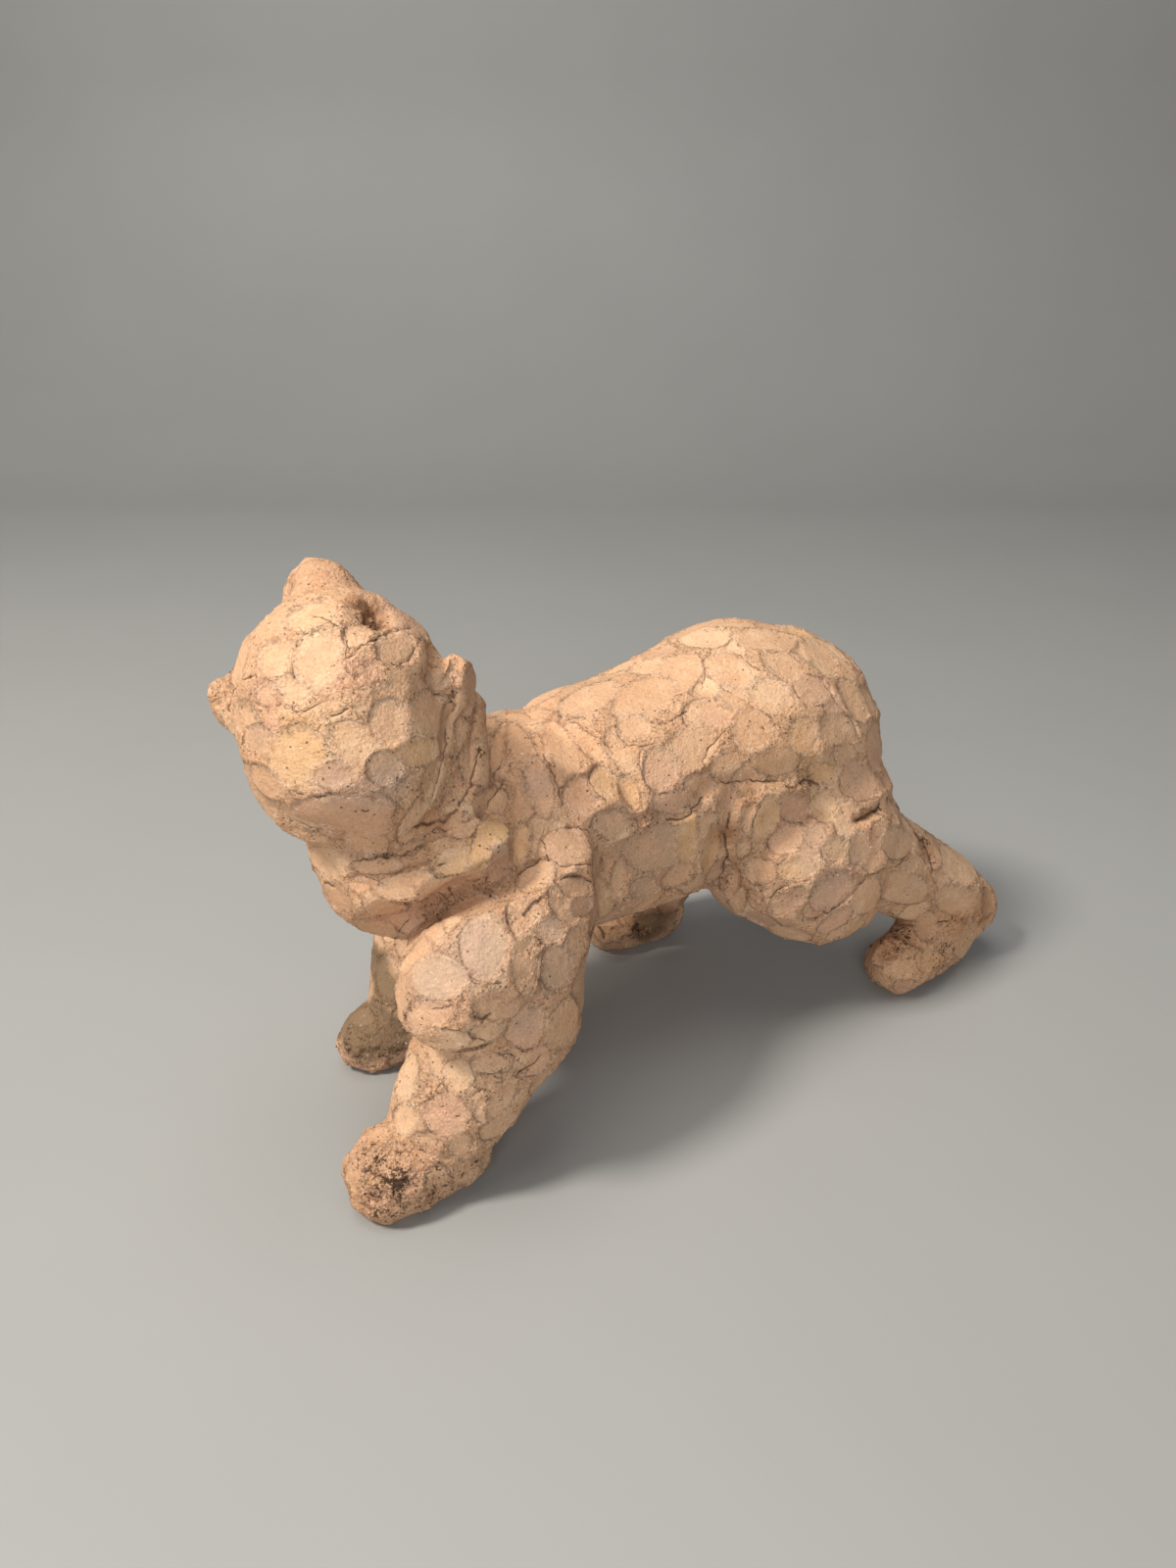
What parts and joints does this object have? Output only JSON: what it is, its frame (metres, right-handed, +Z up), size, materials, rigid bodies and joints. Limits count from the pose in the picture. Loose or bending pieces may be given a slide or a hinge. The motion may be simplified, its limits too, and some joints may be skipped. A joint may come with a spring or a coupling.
{
  "type": "terracotta bear figure",
  "caption": "Striding fired-clay bear, head thrown back over its right shoulder, skin cut all over in short overlapping scoops; stands on its flat soles.",
  "frame": {"origin": "under the middle of the figure's box, on the ground that its soles rest on", "axes": "+Z up, +X from the head end to the heel, -Y the bear's left side"},
  "size_m": [0.3109, 0.1252, 0.1991],
  "materials": {
    "terracotta": "matt, unglazed, coarse fired clay"
  },
  "bodies": {
    "root": {"bear_figure": "terracotta"}
  },
  "joints": []
}
